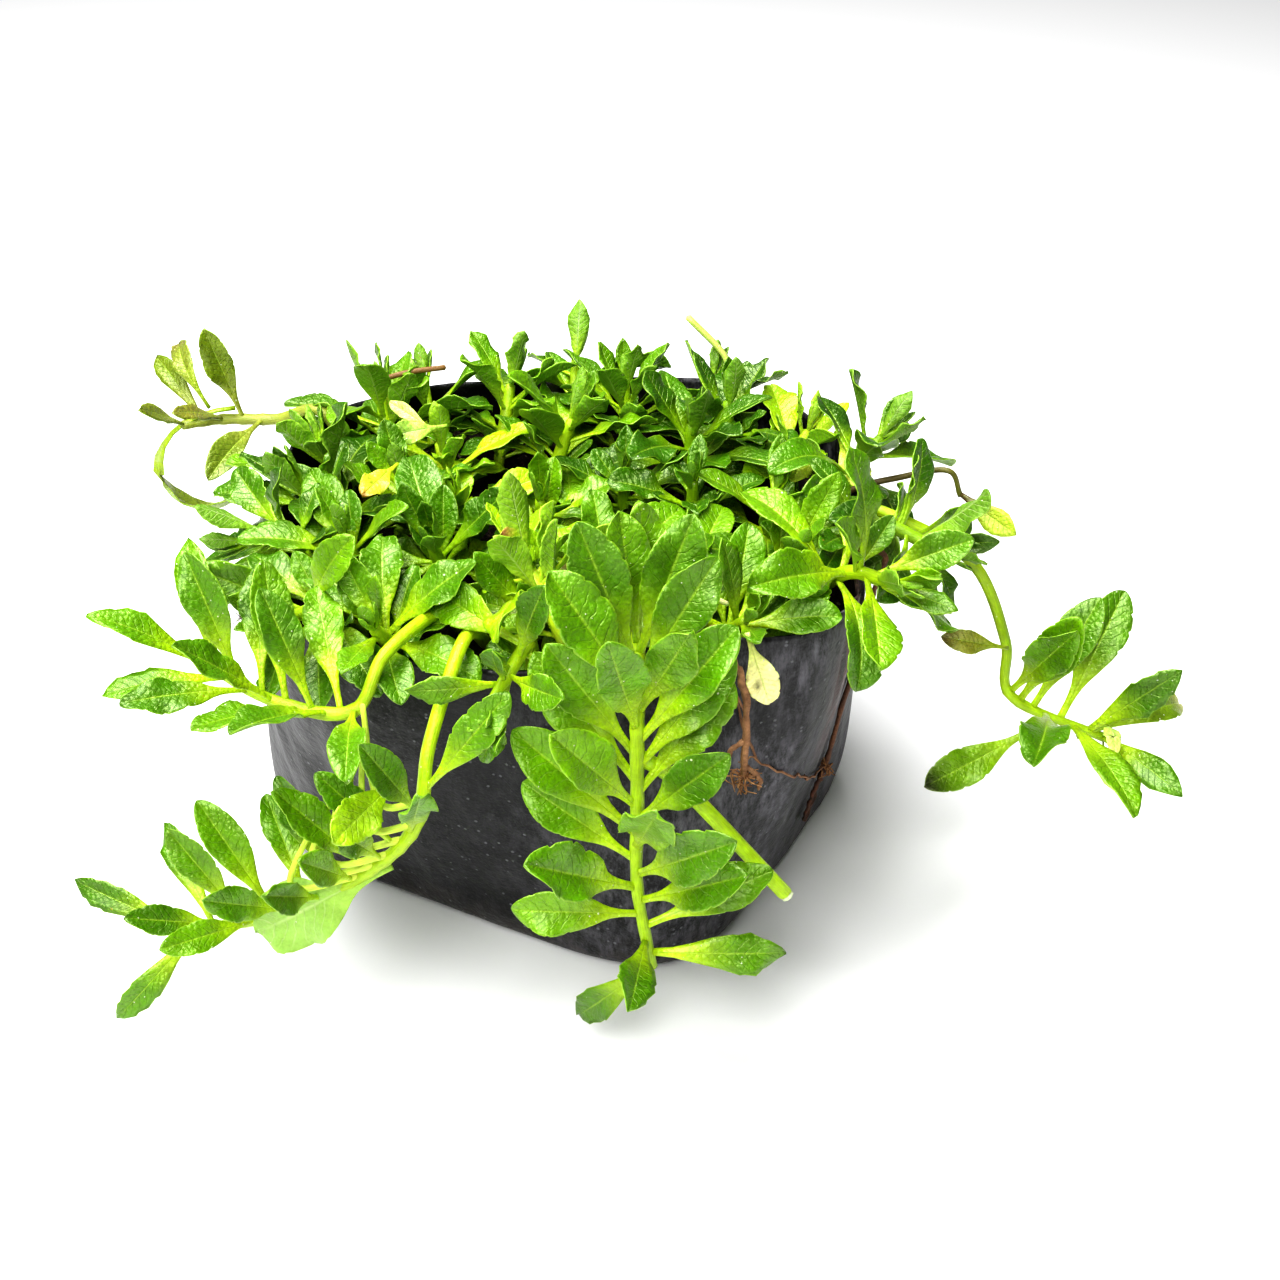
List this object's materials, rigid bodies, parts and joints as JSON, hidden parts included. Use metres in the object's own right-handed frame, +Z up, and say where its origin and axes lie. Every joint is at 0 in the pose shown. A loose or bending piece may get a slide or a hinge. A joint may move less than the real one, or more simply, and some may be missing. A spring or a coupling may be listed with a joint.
{
  "type": "potted creeping herb in a nursery bag",
  "caption": "Low mat of toothed spoon-shaped leaves on fleshy stems that trail over the rim of a short black polythene nursery bag of soil.",
  "frame": {"origin": "on the ground, under the middle of the bag's rim, on the bag's flat base", "axes": "+Z up, -Y towards the side that the stems trail over at the front, +X to the right seen from there"},
  "size_m": [0.396, 0.3027, 0.2019],
  "materials": {
    "bag": "soft black polythene film, creased and dusty, satin gloss",
    "soil": "dark crumbly potting mix with bark and old roots",
    "leaf_mid": "waxy mid green leaves with pale ribs, light green stems",
    "leaf_deep": "waxy deep green leaves with a bluish sheen",
    "leaf_lime": "waxy yellow-green leaves, lime stems",
    "dark_stem": "dry blackish stem with one yellow-green leaf",
    "dry_roots": "dry reddish brown stem and roots"
  },
  "bodies": {
    "root": {"back_centre_left_stem": "leaf_mid", "back_centre_stem": "leaf_mid", "back_left_stem": "leaf_mid", "back_right_stem": "leaf_deep", "back_right_tall_stem": "leaf_deep", "back_right_yellow_stem": "leaf_lime", "bag": "bag", "curled_sprig": "leaf_mid", "dark_stem": "dark_stem", "dry_roots": "dry_roots", "front_left_tip_stem": "leaf_mid", "front_lime_stem": "leaf_lime", "front_right_rim_stem": "leaf_mid", "front_right_stem": "leaf_mid", "front_rim_stem": "leaf_mid", "front_rosette_stem": "leaf_mid", "front_trail": "leaf_mid", "hidden_back_left_stem": "leaf_mid", "hidden_back_right_stem": "leaf_deep", "hidden_back_stem": "leaf_mid", "left_back_stem": "leaf_mid", "left_centre_stem": "leaf_mid", "left_edge_back_stem": "leaf_mid", "left_edge_stem": "leaf_deep", "left_front_glossy_stem": "leaf_deep", "left_front_rim_stem": "leaf_mid", "left_front_stem": "leaf_mid", "left_front_trail": "leaf_mid", "left_glossy_stem": "leaf_deep", "left_middle_stem": "leaf_mid", "left_trail": "leaf_mid", "middle_back_stem": "leaf_deep", "middle_lime_stem": "leaf_lime", "middle_pale_stem": "leaf_lime", "middle_rosette_stem": "leaf_deep", "middle_stem": "leaf_mid", "right_edge_stem": "leaf_deep", "right_glossy_stem": "leaf_mid", "right_middle_stem": "leaf_mid", "right_rim_stem": "leaf_deep", "right_rosette_stem": "leaf_mid", "right_trail": "leaf_mid", "soil": "soil"}
  },
  "joints": []
}
